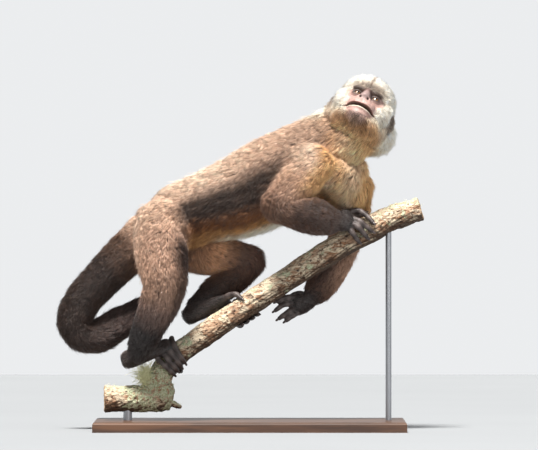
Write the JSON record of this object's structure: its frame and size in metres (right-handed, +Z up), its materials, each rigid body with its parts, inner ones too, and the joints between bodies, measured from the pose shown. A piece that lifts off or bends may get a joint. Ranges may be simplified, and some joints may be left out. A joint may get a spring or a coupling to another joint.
{
  "type": "capuchin monkey model",
  "caption": "Life-size still model of a capuchin monkey climbing a sloping branch, looking up and aside, on a plain display stand.",
  "frame": {"origin": "middle of the underside of the stand's base plate", "axes": "+Z up, +X up the sloping branch, the way the animal walks, -Y its right side, where its face is turned"},
  "size_m": [0.4951, 0.21, 0.4801],
  "materials": {
    "brown_fur": "soft matt fur",
    "dark_fur": "soft matt fur",
    "pale_fur": "soft matt fur",
    "dark_skin": "bare creased skin",
    "eye": "wet gloss",
    "bark": "rough bark",
    "stand_wood": "satin",
    "stand_steel": "satin"
  },
  "bodies": {
    "root": {"head": "pale_fur", "ear_right": "pale_fur", "ear_left": "pale_fur", "eye_right": "eye", "eye_left": "eye", "neck": "brown_fur", "trunk": "brown_fur", "upper_arm_right": "brown_fur", "upper_arm_left": "brown_fur", "forearm_right": "dark_fur", "forearm_left": "dark_fur", "hand_right": "dark_skin", "hand_left": "dark_skin", "thigh_right": "brown_fur", "thigh_left": "brown_fur", "shin_right": "dark_fur", "shin_left": "dark_fur", "foot_right": "dark_skin", "foot_left": "dark_skin", "tail_base": "brown_fur", "tail_middle": "dark_fur", "tail_end": "dark_fur", "perch_branch": "bark", "perch_fork": "bark", "stand_base": "stand_wood", "stand_rod_low": "stand_steel", "stand_rod_high": "stand_steel"}
  },
  "joints": []
}
